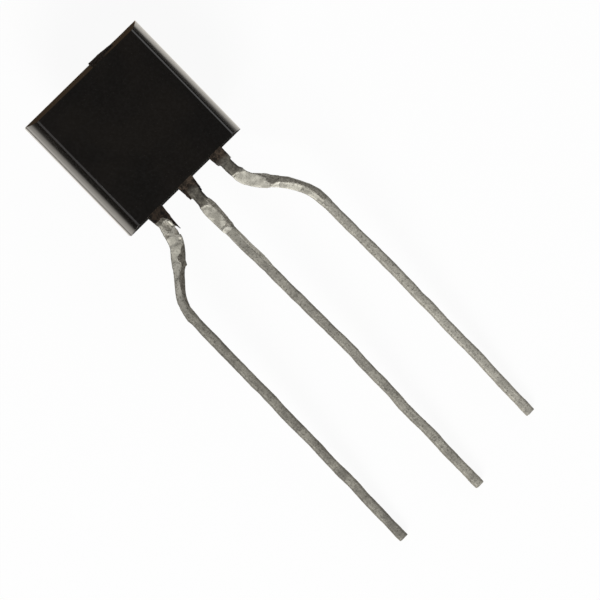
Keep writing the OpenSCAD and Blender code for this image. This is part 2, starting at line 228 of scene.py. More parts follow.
def crusted_resin():
    """Moulding resin that crept along the cut edges of the strip and baked on: dark brown, rough and crumbly."""
    made, tree = material("crusted_resin")
    # Crumbs are about 0.1 mm across
    crumbs = add(
        tree, "ShaderNodeTexNoise", Vector=package_coords(tree), Scale=9.0, Detail=2.0, Roughness=0.7,
    ).outputs[0]
    patch = add(tree, "ShaderNodeMapRange", SMOOTH, Value=crumbs, From_Min=0.38, From_Max=0.62).outputs[0]
    colour = add(
        tree, "ShaderNodeMix", COLOURS, Factor=patch, _6=linear("#100D0B"), _7=linear("#30271F"),
    ).outputs[2]
    bump = add(tree, "ShaderNodeBump", Strength=0.5, Distance=0.00002, Height=crumbs).outputs[0]
    shader = add(
        tree, "ShaderNodeBsdfPrincipled", Base_Color=colour, Roughness=0.85, Specular_IOR_Level=0.15, Normal=bump,
    )
    add(tree, "ShaderNodeOutputMaterial", Surface=shader.outputs[0])
    return made


def epoxy():
    """Black filled epoxy, moulded against polished steel: almost black, with a crisp gloss at low angles."""
    made, tree = material("black_epoxy_moulding")
    place = package_coords(tree)
    # Flow marks are about 1.5 mm across. The filler's pits are about 0.03 mm, and are drawn at 0.08 mm.
    flow = add(tree, "ShaderNodeTexNoise", Vector=place, Scale=0.7, Detail=2.0).outputs[0]
    pits = add(tree, "ShaderNodeTexNoise", Vector=place, Scale=12.0, Detail=3.0, Roughness=0.6).outputs[0]
    tone = add(tree, "ShaderNodeMapRange", SMOOTH, Value=flow, From_Min=0.3, From_Max=0.7).outputs[0]
    colour = add(tree, "ShaderNodeMix", COLOURS, Factor=tone, _6=linear("#0E0C0A"), _7=linear("#14110E")).outputs[2]
    gloss = add(
        tree, "ShaderNodeMapRange", SMOOTH, Value=pits, From_Min=0.3, From_Max=0.7, To_Min=0.18, To_Max=0.26,
    ).outputs[0]
    bump = add(tree, "ShaderNodeBump", Strength=0.04, Distance=0.00001, Height=pits).outputs[0]
    shader = add(
        tree, "ShaderNodeBsdfPrincipled", Base_Color=colour, Roughness=gloss, IOR=1.55, Normal=bump,
        Coat_Weight=1.0, Coat_Roughness=0.06, Coat_IOR=1.6,
    )
    add(tree, "ShaderNodeOutputMaterial", Surface=shader.outputs[0])
    return made


def broken_epoxy():
    """Filled epoxy where the gate was snapped off: the glass filler shows as a dry, grainy, brownish grey-black."""
    made, tree = material("broken_epoxy")
    # Filler grains are about 0.03 mm across, and are drawn at 0.05 mm
    grains = add(tree, "ShaderNodeTexVoronoi", Vector=package_coords(tree), Scale=20.0).outputs[0]
    colour = add(
        tree, "ShaderNodeMix", COLOURS, Factor=grains, _6=linear("#5A4D42"), _7=linear("#241E1A"),
    ).outputs[2]
    bump = add(tree, "ShaderNodeBump", Strength=0.5, Distance=0.00002, Height=grains).outputs[0]
    shader = add(tree, "ShaderNodeBsdfPrincipled", Base_Color=colour, Roughness=0.75, Normal=bump)
    add(tree, "ShaderNodeOutputMaterial", Surface=shader.outputs[0])
    return made


def silicon():
    """Silicon sawn out of a wafer: a dark blue-grey mirror on top, with the saw's fine marks down its sides."""
    made, tree = material("sawn_silicon")
    # Saw marks are about 0.005 mm apart, and are drawn 0.04 mm apart
    saw = add(
        tree, "ShaderNodeTexWave", {"bands_direction": "Z"}, Vector=package_coords(tree), Scale=8.0,
        Distortion=1.5, Detail=2.0,
    ).outputs[1]
    colour = add(
        tree, "ShaderNodeMix", COLOURS, Factor=saw, _6=linear("#5C606B"), _7=linear("#7A7E8A"),
    ).outputs[2]
    shader = add(tree, "ShaderNodeBsdfPrincipled", Base_Color=colour, Metallic=0.6, Roughness=0.18)
    add(tree, "ShaderNodeOutputMaterial", Surface=shader.outputs[0])
    return made


def adhesive():
    """Epoxy filled with silver flakes and cured: a pale satin grey, mottled by the flakes, about 0.03 mm across."""
    made, tree = material("silver_filled_adhesive")
    flakes = add(tree, "ShaderNodeTexVoronoi", Vector=package_coords(tree), Scale=30.0).outputs[0]
    colour = add(
        tree, "ShaderNodeMix", COLOURS, Factor=flakes, _6=linear("#8F8C85"), _7=linear("#D6D3CB"),
    ).outputs[2]
    shader = add(tree, "ShaderNodeBsdfPrincipled", Base_Color=colour, Metallic=0.7, Roughness=0.45)
    add(tree, "ShaderNodeOutputMaterial", Surface=shader.outputs[0])
    return made


def gold():
    """Gold wire drawn through a die: a rich yellow, slightly uneven along its length."""
    made, tree = material("drawn_gold")
    # The die's traces are about 0.04 mm long
    draw = add(tree, "ShaderNodeTexNoise", Vector=package_coords(tree), Scale=25.0, Detail=1.0).outputs[0]
    colour = add(
        tree, "ShaderNodeMix", COLOURS, Factor=draw, _6=linear("#D49A35"), _7=linear("#F0C060"),
    ).outputs[2]
    shader = add(tree, "ShaderNodeBsdfPrincipled", Base_Color=colour, Metallic=1.0, Roughness=0.2)
    add(tree, "ShaderNodeOutputMaterial", Surface=shader.outputs[0])
    return made


TIN = tin()
PRESSED = flattened_tin("pressed_tin", "#A29F95", "#C6C3B8", "#7A776E")
# The brightest copy is burnished tin, a painted highlight on nicks and the lip tilted to the key lamp, and painted
# light on the base lead's shaded right side
BURNISHED_AND_PAINTED_LIGHT = flattened_tin("burnished_tin_and_painted_light", "#BCB9AE", "#DAD7CD", "#96938A")
# Lighter copy: rubbed alloy on bruises, and painted light on tilted side facets. Darker copy: a stain on the emitter
# lead's root, and painted shade on its tilted side facets
RUBBED_AND_PAINTED_LIGHT = bare_alloy("rubbed_alloy_and_painted_light", "#858177", "#AEAAA0")
STAIN_AND_PAINTED_SHADE = bare_alloy("stained_alloy_and_painted_shade", "#5B574F", "#837F76")
CRUST = crusted_resin()
EPOXY = epoxy()
BROKEN = broken_epoxy()
GOLD = gold()
NODE_MATERIALS = {
    "epoxy_body": EPOXY,
    "silicon_die": silicon(),
    "die_attach": adhesive(),
    "emitter_bond_wire": GOLD,
    "base_bond_wire": GOLD,
}
for name, node in frame["nodes"].items():
    node.data.materials.clear()
    node.data.materials.append(NODE_MATERIALS.get(name, TIN))


# ---------------------------------------------------------------- modelling on the bench, in package millimetres

# Corners of a CAD mesh this near each other merge, and a corner this near a place is the one that is meant
MERGED = 0.0005
AT_CORNER = 0.02
# A lead is gripped this far to each side of the place where it is bowed
BOW_GRIP = 0.2
# How far a jaw reaches up out of the flat that it presses, and the height of a flat that cuts right through
JAW_REACH = 2
THROUGH = -1
# How far above or below a pressed flat the lead's skin still belongs to it
SKIN = 0.045
# The end of a torn sliver, as a share of its foot
SLIVER_END = 0.35
# The fine mesh of the dipped leads, and how high the tin's lumps and grit stand on it
VOXEL = 0.02
LUMP_HEIGHT = 0.03
GRIT_HEIGHT = 0.010


def only(piece):
    """Selects one object and nothing else, in object mode."""
    if bpy.context.mode != "OBJECT":
        bpy.ops.object.mode_set(mode="OBJECT")
    bpy.ops.object.select_all(action="DESELECT")
    piece.select_set(True)
    bpy.context.view_layer.objects.active = piece


def on_bench(node_name, name):
    """A merged copy of a CAD node, as a new object in package millimetres."""
    mesh = frame["nodes"][node_name].data.copy()
    mesh.name = name
    mesh.materials.clear()
    mesh.transform(LAID.inverted())
    piece = bpy.data.objects.new(name, mesh)
    bpy.context.scene.collection.objects.link(piece)
    only(piece)
    bpy.ops.object.mode_set(mode="EDIT")
    bpy.ops.mesh.select_all(action="SELECT")
    bpy.ops.mesh.remove_doubles(threshold=MERGED)
    bpy.ops.object.mode_set(mode="OBJECT")
    return piece


def pick(piece, kind, wanted):
    """Selects the corners, edges or faces of a piece that pass a test, and leaves the piece in edit mode."""
    only(piece)
    bpy.ops.object.mode_set(mode="EDIT")
    bpy.ops.mesh.select_mode(type=kind)
    bpy.ops.mesh.select_all(action="DESELECT")
    mesh = bmesh.from_edit_mesh(piece.data)
    for item in {"VERT": mesh.verts, "EDGE": mesh.edges, "FACE": mesh.faces}[kind]:
        if wanted(item):
            item.select_set(True)
    bmesh.update_edit_mesh(piece.data)


def nudge(piece, x, y, shift):
    """Moves the corners of a blank that stand at a place."""
    pick(piece, "VERT", lambda corner: (corner.co.xy - Vector((x, y))).length < AT_CORNER)
    bpy.ops.transform.translate(value=shift)
    bpy.ops.object.mode_set(mode="OBJECT")


def bow(piece, y, shift, reach):
    """Bends a lead sideways round a place along it, fading out within reach."""
    pick(piece, "VERT", lambda corner: abs(corner.co.y - y) < BOW_GRIP)
    bpy.ops.transform.translate(
        value=(shift, 0, 0), use_proportional_edit=True, proportional_edit_falloff="SMOOTH",
        proportional_size=reach,
    )
    bpy.ops.object.mode_set(mode="OBJECT")


def modify(piece, kind, **settings):
    """Adds a modifier and applies it."""
    only(piece)
    modifier = piece.modifiers.new(kind.lower(), kind)
    for name, value in settings.items():
        setattr(modifier, name, value)
    bpy.ops.object.modifier_apply(modifier=modifier.name)


# Everything pressed into or smeared over each lead, in order: its finish, its outline and the height of its flat
FACETS = {}


def press(piece, finish, outline, z, slope=(0, 0)):
    """Presses a flat into a lead with a jaw of a given outline. The flat lies at height z in the middle of the
    outline, and rises by its slopes along X and Y."""
    middle = sum((Vector(place) for place in outline), Vector((0, 0))) / len(outline)

    def level(x, y):
        return z + slope[0] * (x - middle.x) + slope[1] * (y - middle.y)

    bpy.ops.object.select_all(action="DESELECT")
    bpy.ops.mesh.primitive_cylinder_add(vertices=len(outline), radius=1, depth=2, location=(0, 0, 0))
    jaw = bpy.context.object
    for corner in jaw.data.vertices:
        turn = atan2(corner.co.x, corner.co.y) / (2 * pi)
        x, y = outline[round(turn * len(outline)) % len(outline)]
        corner.co = (x, y, level(x, y) + (JAW_REACH if corner.co.z > 0 else 0))
    pick(jaw, "FACE", lambda face: True)
    bpy.ops.mesh.normals_make_consistent(inside=False)
    modify(piece, "BOOLEAN", operation="DIFFERENCE", object=jaw, solver="EXACT")
    bpy.data.objects.remove(jaw)
    FACETS.setdefault(piece.name, []).append((finish, outline, level))


def smear(piece, finish, outline):
    """Covers a lead with a finish inside an outline, seen from above."""
    FACETS.setdefault(piece.name, []).append((finish, outline, None))


def sliver(piece, foot, tip, width, height):
    """Adds a torn sliver of strip to a lead: a four-sided spike from its foot to its tip."""
    foot, tip = Vector(foot), Vector(tip)
    way = tip - foot
    bpy.ops.object.select_all(action="DESELECT")
    bpy.ops.mesh.primitive_cone_add(
        vertices=4, radius1=1, radius2=SLIVER_END, depth=way.length, location=(0, 0, 0), rotation=(0, 0, pi / 4),
    )
    spike = bpy.context.object
    bpy.ops.object.transform_apply(location=True, rotation=True, scale=True)
    # The cone's foot is a square with corners 1 from the middle, so this makes it 1 wide
    half = 0.5 * 2 ** 0.5
    spike.data.transform(
        Matrix.Translation((foot + tip) / 2) @ way.to_track_quat("Z", "Y").to_matrix().to_4x4()
        @ Matrix.Diagonal((width * half, height * half, 1, 1))
    )
    modify(piece, "BOOLEAN", operation="UNION", object=spike, solver="EXACT")
    bpy.data.objects.remove(spike)


# Tin that ran together in the dip in lumps about 0.45 mm across, and the grit on it, about 0.07 mm
LUMPS = bpy.data.textures.new("dip_lumps", "CLOUDS")
LUMPS.noise_scale = 0.45
LUMPS.noise_depth = 1
GRIT = bpy.data.textures.new("dip_grit", "CLOUDS")
GRIT.noise_scale = 0.07
GRIT.noise_depth = 2

LEAD_FINISHES = [TIN, PRESSED, BURNISHED_AND_PAINTED_LIGHT, RUBBED_AND_PAINTED_LIGHT, STAIN_AND_PAINTED_SHADE, CRUST]


def inside(point, facet):
    """Whether a point of a lead lies in the skin of a pressed flat, or under a smear."""
    outline, level = facet[1:]
    if level and abs(point.z - level(point.x, point.y)) > SKIN:
        return False
    crossed = False
    for (x, y), (next_x, next_y) in zip(outline, outline[1:] + outline[:1]):
        if (y > point.y) != (next_y > point.y) and point.x < x + (point.y - y) / (next_y - y) * (next_x - x):
            crossed = not crossed
    return crossed


def finish_lead(piece, node_name, bows=()):
    """Turns the sharp blank into dipped strip: a fine mesh with soft edges, an uneven skin wherever no jaw pressed it
    flat, and slight bows, each given by its place, shift and reach. Then lays it in place."""
    modify(piece, "REMESH", mode="VOXEL", voxel_size=VOXEL, adaptivity=0.0)
    modify(piece, "SMOOTH", factor=0.5, iterations=3)
    dipped = piece.vertex_groups.new(name="dipped")
    facets = FACETS[piece.name]
    flats = [facet for facet in facets if facet[2]]
    unpressed = [v.index for v in piece.data.vertices if not any(inside(v.co, flat) for flat in flats)]
    dipped.add(unpressed, 1, "REPLACE")
    # The lumps sink in more than they stand out, and the grit does both alike
    for texture, height, mid_level in ((LUMPS, LUMP_HEIGHT, 0.8), (GRIT, GRIT_HEIGHT, 0.5)):
        modify(
            piece, "DISPLACE", texture=texture, strength=height, mid_level=mid_level, texture_coords="LOCAL",
            vertex_group="dipped",
        )
    for finish in LEAD_FINISHES:
        piece.data.materials.append(finish)
    for face in piece.data.polygons:
        for facet in facets:
            if inside(face.center, facet):
                face.material_index = LEAD_FINISHES.index(facet[0])
    for y, shift, reach in bows:
        bow(piece, y, shift, reach)
    piece.data.transform(LAID)
    only(piece)
    bpy.ops.object.shade_smooth()
    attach(piece, "root")
    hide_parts(node_name)


# Emitter lead: a torn sliver stands along its inner side, and the metal below it is bruised and pitted
emitter = on_bench("emitter_lead", "emitter_dipped_lead")
sliver(emitter, (-1.09, -0.20, 0.25), (-1.085, -0.88, 0.28), 0.15, 0.16)
# The bending tool pushed up a burr on the inner edge
sliver(emitter, (-1.685, -1.54, 0.17), (-1.735, -1.81, 0.17), 0.16, 0.14)
# The strip is narrower on its outer side round the bends
press(emitter, TIN, [(-1.77, -1.12), (-1.86, -1.22), (-1.95, -1.32), (-2.04, -1.42), (-2.10, -1.52), (-2.16, -1.62),
    (-2.21, -1.72), (-2.28, -1.82), (-2.35, -1.92), (-2.42, -2.02), (-2.50, -2.12), (-2.58, -2.22), (-2.65, -2.32),
    (-2.72, -2.44), (-2.78, -2.62), (-2.82, -2.82), (-2.86, -3.02), (-3.10, -3.02), (-3.13, -1.12)], THROUGH)
# The side facets, tilted away from the key lamp, in the darker alloy colour as painted shade
press(emitter, STAIN_AND_PAINTED_SHADE, [(-1.50, -1.29), (-1.58, -1.37), (-1.69, -1.40), (-1.81, -1.42), (-1.83, -1.52),
    (-1.82, -1.62), (-1.87, -1.70), (-1.97, -1.78), (-2.03, -1.85), (-1.80, -2.02), (-1.23, -1.52),
    (-1.37, -1.26)], 0.29, (-0.45, 0.4))
press(emitter, STAIN_AND_PAINTED_SHADE, [(-1.96, -1.78), (-2.09, -1.82), (-2.23, -1.99), (-2.34, -2.17), (-2.43, -2.35),
    (-2.50, -2.52), (-2.53, -2.72), (-2.30, -2.72), (-2.15, -2.32), (-1.81, -1.97)], 0.28, (-0.5, 0.44))
# A slot parts the sliver's tip from the lead
press(emitter, TIN, [(-1.15, -0.68), (-1.12, -0.66), (-1.12, -0.78), (-1.12, -1.00), (-1.24, -1.00),
    (-1.18, -0.84)], THROUGH)
# Flats that the slipping clamp left
press(emitter, BURNISHED_AND_PAINTED_LIGHT, [(-1.78, -0.88), (-1.59, -0.82), (-1.42, -0.86), (-1.38, -0.94), (-1.45, -1.04),
    (-1.59, -1.08), (-1.71, -1.04), (-1.85, -1.08)], 0.325, (0.06, 0))
press(emitter, PRESSED, [(-1.89, -1.14), (-1.69, -1.12), (-1.53, -1.14), (-1.41, -1.18), (-1.49, -1.30),
    (-1.58, -1.37), (-1.81, -1.42), (-1.89, -1.50), (-2.11, -1.48)], 0.322, (0.05, 0))
press(emitter, TIN, [(-2.15, -1.52), (-1.93, -1.52), (-1.86, -1.60), (-1.85, -1.66), (-1.90, -1.72),
    (-2.02, -1.80), (-2.13, -1.90), (-2.41, -1.90)], 0.328, (0.05, -0.04))
# Bruises and bright nicks
press(emitter, RUBBED_AND_PAINTED_LIGHT, [(-1.42, -0.42), (-1.30, -0.40), (-1.24, -0.52), (-1.26, -0.68), (-1.34, -0.74),
    (-1.42, -0.66), (-1.45, -0.54)], 0.31, (-0.1, 0))
press(emitter, RUBBED_AND_PAINTED_LIGHT, [(-1.64, -0.73), (-1.52, -0.70), (-1.44, -0.75), (-1.50, -0.82), (-1.66, -0.81)], 0.31,
    (-0.1, -0.2))
press(emitter, RUBBED_AND_PAINTED_LIGHT, [(-1.34, -0.84), (-1.24, -0.80), (-1.12, -0.84), (-1.14, -0.95), (-1.26, -0.97),
    (-1.36, -0.92)], 0.31, (-0.2, 0.1))
# Two nicks tilted to mirror the key lamp, made brighter by the burnished colour as a painted highlight
press(emitter, BURNISHED_AND_PAINTED_LIGHT, [(-1.24, -0.44), (-1.17, -0.46), (-1.16, -0.66), (-1.24, -0.68)], 0.3, (0.45, 0.22))
press(emitter, BURNISHED_AND_PAINTED_LIGHT, [(-1.38, -1.06), (-1.30, -1.02), (-1.27, -1.12), (-1.37, -1.16)], 0.3, (0.42, 0.22))
smear(emitter, PRESSED, [(-1.57, -0.46), (-1.52, -0.46), (-1.50, -0.60), (-1.49, -0.68), (-1.58, -0.70)])
# Resin over the root, on the sliver and down the inner edge
smear(emitter, CRUST, [(-1.60, 0.08), (-1.60, -0.20), (-1.50, -0.24), (-1.38, -0.26), (-1.30, -0.23),
    (-1.22, -0.29), (-1.16, -0.40), (-1.12, -0.50), (-1.14, -0.64), (-1.10, -0.76), (-1.12, -0.97), (-0.90, -0.97),
    (-0.90, 0.08)])
smear(emitter, STAIN_AND_PAINTED_SHADE, [(-1.60, -0.20), (-1.50, -0.24), (-1.38, -0.26), (-1.30, -0.23), (-1.22, -0.29),
    (-1.18, -0.38), (-1.34, -0.35), (-1.44, -0.42), (-1.50, -0.36), (-1.54, -0.46), (-1.62, -0.46)])
finish_lead(
    emitter, "emitter_lead",
    bows=[(-1.35, 0.03, 0.6), (-6.4, 0.015, 0.5), (-8.2, 0.015, 0.5), (-10.0, 0.015, 0.5)],
)

# Base lead: its root was sheared, and a point of metal stands at each end of the cut
base = on_bench("base_lead", "base_dipped_lead")
nudge(base, 0.25, -0.38, (-0.01, -0.03, 0))
nudge(base, -0.25, -0.38, (-0.01, 0, 0))
sliver(base, (-0.24, -0.30, 0.25), (-0.25, -0.50, 0.28), 0.08, 0.14)
sliver(base, (0.215, -0.32, 0.25), (0.215, -0.50, 0.28), 0.06, 0.14)
# Flats that the clamp left, the right one steeply tilted
press(base, TIN, [(-0.32, -1.88), (0.37, -1.88), (0.36, -2.68), (-0.32, -2.68)], 0.348, (0, -0.05))
# The steeply tilted right flats take the lighter alloy colour, as painted light on their shaded slope
press(base, RUBBED_AND_PAINTED_LIGHT, [(0.08, -0.80), (0.33, -0.82), (0.35, -1.95), (0.18, -2.00), (0.08, -1.84), (0.04, -1.76),
    (0.07, -1.68), (0.10, -1.58), (0.13, -1.47), (0.13, -1.32), (0.11, -1.17), (0.08, -1.04), (0.05, -0.92)], 0.31,
    (-0.5, 0))
press(base, RUBBED_AND_PAINTED_LIGHT, [(0.08, -1.94), (0.18, -2.00), (0.35, -1.95), (0.34, -2.25), (0.18, -2.20)], 0.31, (-0.38, 0))
press(base, PRESSED, [(-0.31, -0.86), (-0.19, -0.85), (-0.09, -0.88), (0.01, -0.93), (0.08, -1.04), (0.11, -1.17),
    (0.13, -1.32), (0.13, -1.47), (0.10, -1.58), (0.06, -1.68), (-0.00, -1.73), (-0.08, -1.72), (-0.15, -1.77),
    (-0.32, -1.79)], 0.313, (0.12, -0.03))
press(base, BURNISHED_AND_PAINTED_LIGHT, [(-0.26, -1.81), (-0.10, -1.79), (0.01, -1.81), (0.06, -1.87), (0.08, -1.94), (0.01, -1.97),
    (-0.12, -1.94), (-0.26, -1.96)], 0.325, (0.06, -0.03))
# The lead's right side below the flats is covered in the bright burnished colour, as painted light over its shade
smear(base, BURNISHED_AND_PAINTED_LIGHT, [(0.05, -2.14), (0.09, -2.08), (0.30, -2.06), (0.30, -3.72), (0.12, -3.70), (0.07, -3.50),
    (0.045, -3.24), (0.06, -2.98), (0.04, -2.72), (0.055, -2.47), (0.04, -2.26)])
# The skin was rubbed off between the flats, and resin crept along both edges of the root
smear(base, RUBBED_AND_PAINTED_LIGHT, [(-0.06, -1.74), (0.01, -1.72), (0.07, -1.66), (0.11, -1.76), (0.04, -1.80), (-0.03, -1.78)])
smear(base, CRUST, [(-0.40, 0.08), (-0.17, -0.12), (-0.19, -0.36), (-0.21, -0.57), (-0.35, -0.57)])
smear(base, CRUST, [(0.40, 0.08), (0.19, -0.12), (0.17, -0.32), (0.16, -0.44), (0.19, -0.62), (0.35, -0.57)])
finish_lead(
    base, "base_lead",
    bows=[(-1.8, -0.025, 1.6), (-7.0, 0.045, 3.0), (-6.9, 0.02, 0.5), (-8.7, 0.02, 0.5), (-10.5, 0.02, 0.5)],
)

# Collector lead: the dam bar's cut leans over, so its root is longer on the outer side
collector = on_bench("collector_lead", "collector_dipped_lead")
nudge(collector, 1.56, 0, (-0.04, 0, 0))
nudge(collector, 0.98, 0, (0.03, 0, 0))
nudge(collector, 1.52, -0.38, (0, -0.05, 0))
nudge(collector, 1.02, -0.38, (0.03, 0.03, 0))
# The strip is narrower on its outer side where the first bend starts
press(collector, TIN, [(1.55, -0.88), (1.57, -1.02), (1.61, -1.12), (1.67, -1.22), (1.78, -1.32), (1.88, -1.42),
    (2.12, -1.42), (1.90, -0.88)], THROUGH)
# The side facets, tilted away from the key lamp, in the lighter alloy colour as painted light where their rims catch
# light
press(collector, RUBBED_AND_PAINTED_LIGHT, [(1.62, -1.10), (1.80, -1.12), (2.14, -1.47), (2.16, -1.64), (1.86, -1.62), (1.81, -1.52),
    (1.76, -1.42), (1.69, -1.27)], 0.3, (-0.51, -0.36))
press(collector, RUBBED_AND_PAINTED_LIGHT, [(1.83, -1.60), (1.98, -1.58), (2.16, -1.62), (2.25, -1.80), (2.09, -1.90), (1.97, -1.87),
    (1.86, -1.84), (1.83, -1.72)], 0.25, (-0.65, -0.62))
press(collector, RUBBED_AND_PAINTED_LIGHT, [(1.87, -1.85), (2.07, -1.94), (2.27, -2.14), (2.55, -1.97), (2.24, -1.64)], 0.31,
    (-0.32, -0.3))
press(collector, RUBBED_AND_PAINTED_LIGHT, [(2.27, -2.14), (2.42, -2.34), (2.52, -2.58), (2.89, -2.47), (2.55, -1.97)], 0.31,
    (-0.35, -0.2))
press(collector, RUBBED_AND_PAINTED_LIGHT, [(2.52, -2.58), (2.57, -2.79), (2.59, -3.04), (2.61, -3.29), (2.95, -3.27), (2.94, -2.82),
    (2.89, -2.47)], 0.31, (-0.34, -0.06))
# Flats from the forming clamp, and the lip that stands up at their upper end
press(collector, PRESSED, [(1.05, -0.90), (1.22, -0.90), (1.38, -0.92), (1.50, -0.97), (1.57, -1.05), (1.62, -1.15),
    (1.69, -1.27), (1.76, -1.44), (1.82, -1.58), (1.84, -1.72), (1.83, -1.84), (1.75, -1.90), (1.45, -1.82),
    (1.11, -1.37), (1.00, -1.02)], 0.305, (0.12, 0.04))
press(collector, BURNISHED_AND_PAINTED_LIGHT, [(1.65, -1.88), (1.85, -1.86), (2.02, -1.90), (2.10, -1.98), (1.97, -2.07),
    (1.81, -2.06)], 0.32, (0.06, 0))
press(collector, PRESSED, [(2.09, -2.02), (2.27, -2.16), (2.41, -2.35), (2.51, -2.59), (2.28, -2.64), (2.15, -2.38),
    (1.91, -2.10)], 0.335, (0.1, 0.08))
press(collector, PRESSED, [(2.51, -2.60), (2.56, -2.80), (2.58, -3.04), (2.60, -3.34), (2.36, -3.37), (2.33, -2.97),
    (2.28, -2.66)], 0.345, (0.1, 0.02))
# The lip is tilted to the key lamp, and its burnished colour adds a painted highlight
press(collector, BURNISHED_AND_PAINTED_LIGHT, [(1.06, -0.82), (1.25, -0.83), (1.38, -0.88), (1.36, -0.92), (1.22, -0.89),
    (1.06, -0.89)], 0.31, (0.2, 0.15))
finish_lead(
    collector, "collector_lead",
    bows=[(-2.1, -0.05, 0.8), (-6.2, 0.035, 2.2), (-12.3, -0.045, 2.6), (-8.0, 0.015, 0.5), (-9.8, 0.015, 0.5)],
)

# Moulded body: the mould's edges are not quite sharp, and the gate broke off rough
END_ANGLE = radians(30)
# A corner this near a plane or an arc lies on it, and so does an edge or a face whose middle is this near
ON_PLANE = 0.001
ON_ARC = 0.003
MIDDLE_ON_PLANE = 0.01
# The mould halves' step closes over this depth of the front half. Beyond this x its corners then merge when they are
# this near each other.
STEP_DEPTH = 0.7
COLLECTOR_SIDE = 1.9
STEP_MERGED = 0.002
# The long edges beside the flat face: where their wear starts and ends across the body, how low it reaches, how far
# it takes the edge outwards and down, and how far past its end a corner may still lie, as a share
EDGE_START = 1.926
EDGE_END = 1.995
EDGE_FOOT = 1.23
WORN_OUT = 0.025
WORN_DOWN = 0.048
WORN_MOST = 1.05
# The edges at the ends: how near an end they lie, how far out the curved ones run, and how far the curved ones and
# the flat face's are rounded
AT_END = 0.3
RIM_REACH = 2.1
RIM_ROUND = 0.03
FLAT_ROUND = 0.008
# The gate: its sides, its top, how far it stands clear of the end face, how far that face draws in for each
# millimetre of depth, with 7 degrees of draft, and how far the break's grains stand up
GATE_LEFT = 0.35
GATE_RIGHT = 1.32
GATE_TOP = 0.72
GATE_CLEAR = 0.002
FRONT_DRAFT = 0.1228
BREAK_GRAIN = 0.008
body = on_bench("epoxy_body", "moulded_body")
pick(body, "FACE", lambda face: True)
bpy.ops.mesh.dissolve_limited(angle_limit=radians(0.3))
bpy.ops.object.mode_set(mode="OBJECT")
# The mould halves meet flush on the collector side, and stand half as far apart on the other
for corner in body.data.vertices:
    round_front = (corner.co.xz - Vector((0, FLANK_H))).length
    if corner.co.z > PARTING_Z - ON_PLANE and abs(round_front - FRONT_R) < ON_ARC:
        closing = (BODY_R - FRONT_R) * max(0, 1 - (corner.co.z - PARTING_Z) / STEP_DEPTH)
        corner.co.x += closing if corner.co.x > 0 else -closing / 2
pick(body, "VERT", lambda corner: corner.co.x > COLLECTOR_SIDE)
bpy.ops.mesh.remove_doubles(threshold=STEP_MERGED)
bpy.ops.object.mode_set(mode="OBJECT")
# The mould's two long edges beside the flat face are worn a little rounder than they were cut
for corner in body.data.vertices:
    worn = (abs(corner.co.x) - EDGE_START) / (EDGE_END - EDGE_START)
    if 0 < worn < WORN_MOST and corner.co.z > EDGE_FOOT:
        corner.co.x += WORN_OUT * worn if corner.co.x > 0 else -WORN_OUT * worn
        corner.co.z -= WORN_DOWN * worn


def on_rim(edge):
    """Whether an edge runs round the curved part of an end of the body."""
    middle = (edge.verts[0].co + edge.verts[1].co) / 2
    rim = middle.xz.length > RIM_REACH and abs(middle.z - PARTING_Z) > RIM_ROUND
    end = middle.y < AT_END or middle.y > BODY_L - AT_END
    return end and rim and edge.calc_face_angle(0) > END_ANGLE


def on_flat_end(edge):
    """Whether an edge runs along an end of the flat face."""
    middle = (edge.verts[0].co + edge.verts[1].co) / 2
    end = middle.y < AT_END or middle.y > BODY_L - AT_END
    return end and abs(middle.z - FLAT_Z) < MIDDLE_ON_PLANE and edge.calc_face_angle(0) > END_ANGLE


def on_gate(face):
    """Whether a face belongs to what is left of the gate."""
    middle = face.calc_center_median()
    end_face = BODY_L - max(0, middle.z - PARTING_Z) * FRONT_DRAFT
    framed = GATE_LEFT < middle.x < GATE_RIGHT and PARTING_Z - MIDDLE_ON_PLANE < middle.z < GATE_TOP
    return framed and middle.y > end_face + GATE_CLEAR


pick(body, "EDGE", on_rim)
bpy.ops.mesh.bevel(offset=RIM_ROUND, segments=3, affect="EDGES", clamp_overlap=True)
pick(body, "EDGE", on_flat_end)
bpy.ops.mesh.bevel(offset=FLAT_ROUND, segments=2, affect="EDGES", clamp_overlap=True)
bpy.ops.object.mode_set(mode="OBJECT")
pick(body, "FACE", on_gate)
bpy.ops.mesh.quads_convert_to_tris()
bpy.ops.mesh.subdivide(number_cuts=4)
bpy.ops.transform.vertex_random(offset=BREAK_GRAIN, uniform=0.3, normal=0.3, seed=5)
bpy.ops.object.mode_set(mode="OBJECT")
for finish in (EPOXY, BROKEN):
    body.data.materials.append(finish)
for face in body.data.polygons:
    face.material_index = int(face.select)
only(body)
bpy.ops.object.shade_smooth_by_angle(angle=radians(20))
# The long faces keep their own shading right up to the small rounds at their ends. A weight of 50 is by area alone.
modify(body, "WEIGHTED_NORMAL", mode="FACE_AREA", weight=50, keep_sharp=True)
body.data.transform(LAID)
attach(body, "root")
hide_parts("epoxy_body")


# ---------------------------------------------------------------- stage, light and camera

bpy.ops.object.select_all(action="DESELECT")
bpy.ops.mesh.primitive_plane_add(size=4, location=(0, 0, 0))
floor = bpy.context.object
floor.name = "floor"
made, tree = material("white_card")
path = add(tree, "ShaderNodeLightPath")
card = add(tree, "ShaderNodeBsdfDiffuse", Color=(0.88, 0.88, 0.88, 1))
spot = add(tree, "ShaderNodeSeparateXYZ", Vector=add(tree, "ShaderNodeTexCoord").outputs["Object"])
across, along = spot.outputs[0], spot.outputs[1]
# What the gloss sees of the card is a painted pool of light: bright beside the body, dimmer on the collector side as
# painted shadow, less so under the leads, dim under the body as painted shadow and further off, and faintly brown
# beyond the body's far end as a painted reflection
BRIGHT_GLOW = 1.0
EAST_GLOW = 0.8
EAST_EDGE_GLOW = 0.04
LEAD_GLOW = 0.8
BROWN_GLOW = 0.05
DIM_GLOW = 0.015
# The bright part widens towards the body's raised far end from this place along it, less on the collector side
WIDENING = 0.28
WIDENS_FROM = 6.2 * MM
EAST_SHARE = 0.65
